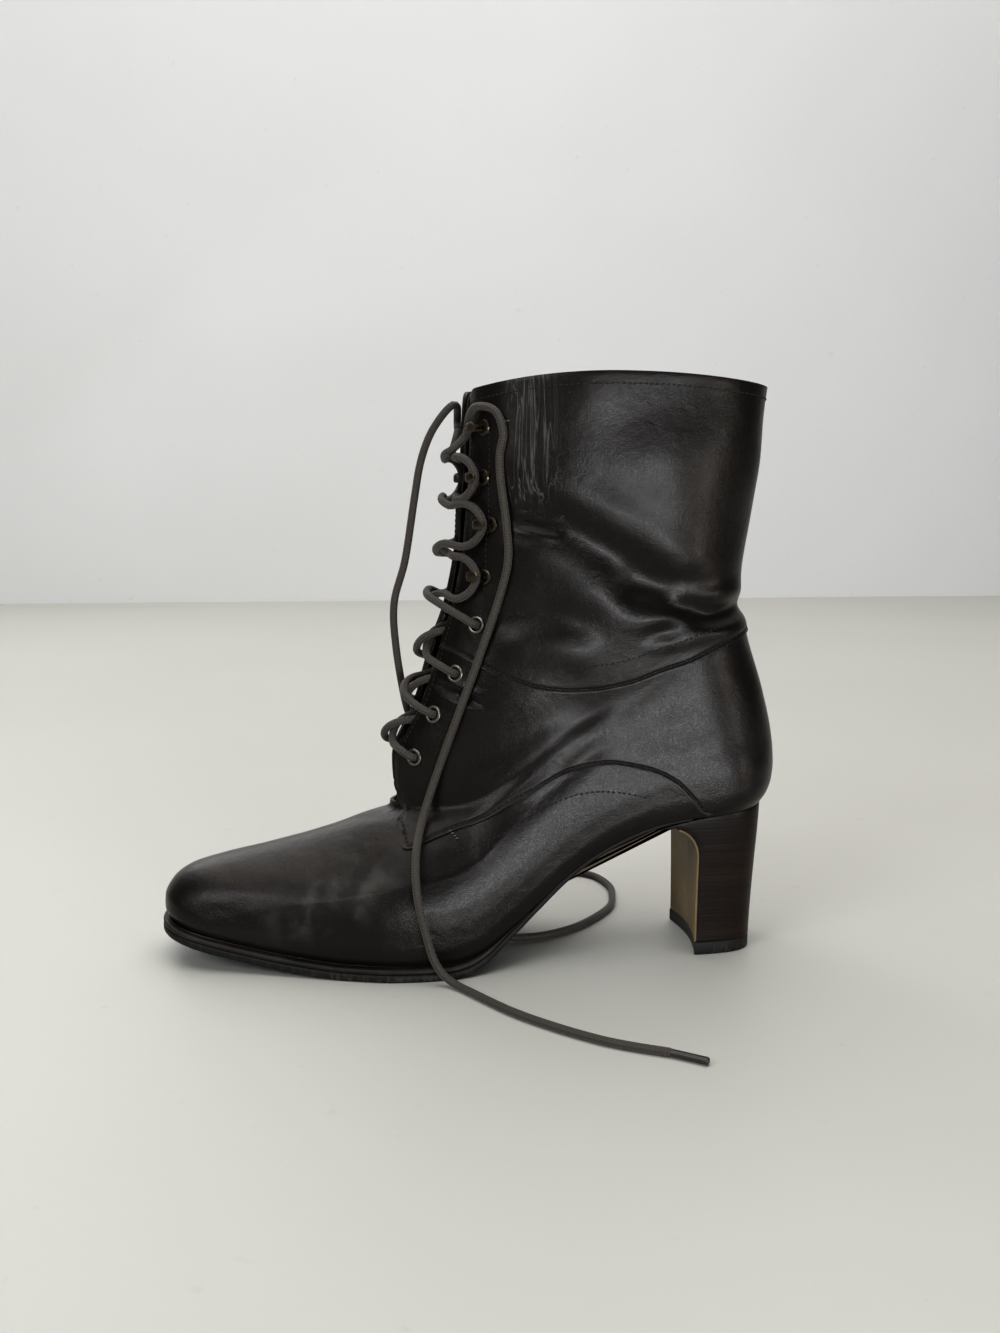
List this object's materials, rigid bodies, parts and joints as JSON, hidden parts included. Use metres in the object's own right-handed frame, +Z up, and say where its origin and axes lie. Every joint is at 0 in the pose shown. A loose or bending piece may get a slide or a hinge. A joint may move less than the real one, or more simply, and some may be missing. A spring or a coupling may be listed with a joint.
{
  "type": "lace-up boot",
  "caption": "Lace-up ankle boot with a hollow leather upper, block heel, brass eyelets, hooks and a round lace with loose ends.",
  "frame": {"origin": "on the floor under the middle of the boot without the loose lace ends", "axes": "-X towards the toe, +X towards the heel, -Y towards the outer side of the foot, +Z up"},
  "size_m": [0.2578, 0.219, 0.2389],
  "materials": {
    "leather": "semi-gloss, nearly black brown",
    "tongue_leather": "dull, nearly black",
    "insole_leather": "dull tan",
    "rand_leather": "satin dark brown",
    "sole_rubber": "matt black",
    "stacked_leather": "satin dark red brown with fine layer lines",
    "breast_leather": "dull tan",
    "antique_brass": "aged, dark in the hollows",
    "waxed_cord": "round waxed cord",
    "aglet_plastic": "satin"
  },
  "bodies": {
    "root": {"upper": "leather", "tongue": "tongue_leather", "insole": "insole_leather", "rand": "rand_leather", "outsole": "sole_rubber", "heel_block": "stacked_leather", "breast_cover": "breast_leather", "top_lift": "sole_rubber", "lace_crossings": "waxed_cord", "eyelet_lateral_1": "antique_brass", "hook_lateral_1": "antique_brass", "eyelet_lateral_2": "antique_brass", "hook_lateral_2": "antique_brass", "eyelet_lateral_3": "antique_brass", "hook_lateral_3": "antique_brass", "eyelet_lateral_4": "antique_brass", "hook_lateral_4": "antique_brass", "lace_end_lateral": "waxed_cord", "aglet_lateral": "aglet_plastic", "eyelet_medial_1": "antique_brass", "hook_medial_1": "antique_brass", "eyelet_medial_2": "antique_brass", "hook_medial_2": "antique_brass", "eyelet_medial_3": "antique_brass", "hook_medial_3": "antique_brass", "eyelet_medial_4": "antique_brass", "hook_medial_4": "antique_brass", "lace_end_medial": "waxed_cord", "aglet_medial": "aglet_plastic"}
  },
  "joints": []
}
